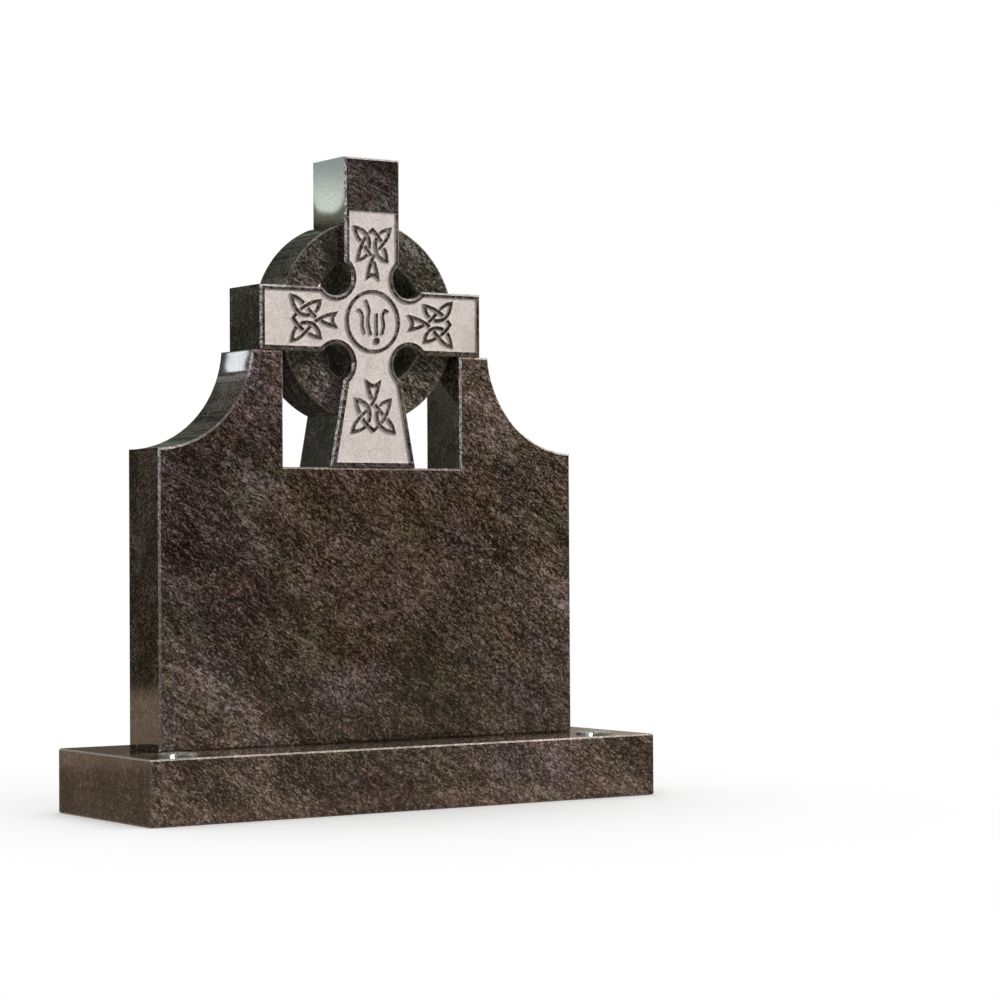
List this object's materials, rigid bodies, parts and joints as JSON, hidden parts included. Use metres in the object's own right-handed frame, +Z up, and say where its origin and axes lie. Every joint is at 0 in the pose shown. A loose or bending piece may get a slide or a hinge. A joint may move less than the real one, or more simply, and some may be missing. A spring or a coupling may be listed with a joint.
{
  "type": "celtic cross headstone",
  "caption": "Polished granite headstone: a ringed celtic cross with carved knotwork set in a window between the tablet's pillars, on a block base with lidded flower containers.",
  "frame": {"origin": "centre of the base's underside", "axes": "+X along the front from left to right as the viewer sees it, +Y from the carved front to the back, +Z up"},
  "size_m": [0.914, 0.308, 1.0181],
  "materials": {
    "polished_granite": "polished",
    "container_metal": "satin"
  },
  "bodies": {
    "root": {"base": "polished_granite", "die": "polished_granite", "cross": "polished_granite", "flower_container_left": "container_metal", "flower_container_right": "container_metal", "container_lid_left": "container_metal", "container_lid_right": "container_metal"}
  },
  "joints": []
}
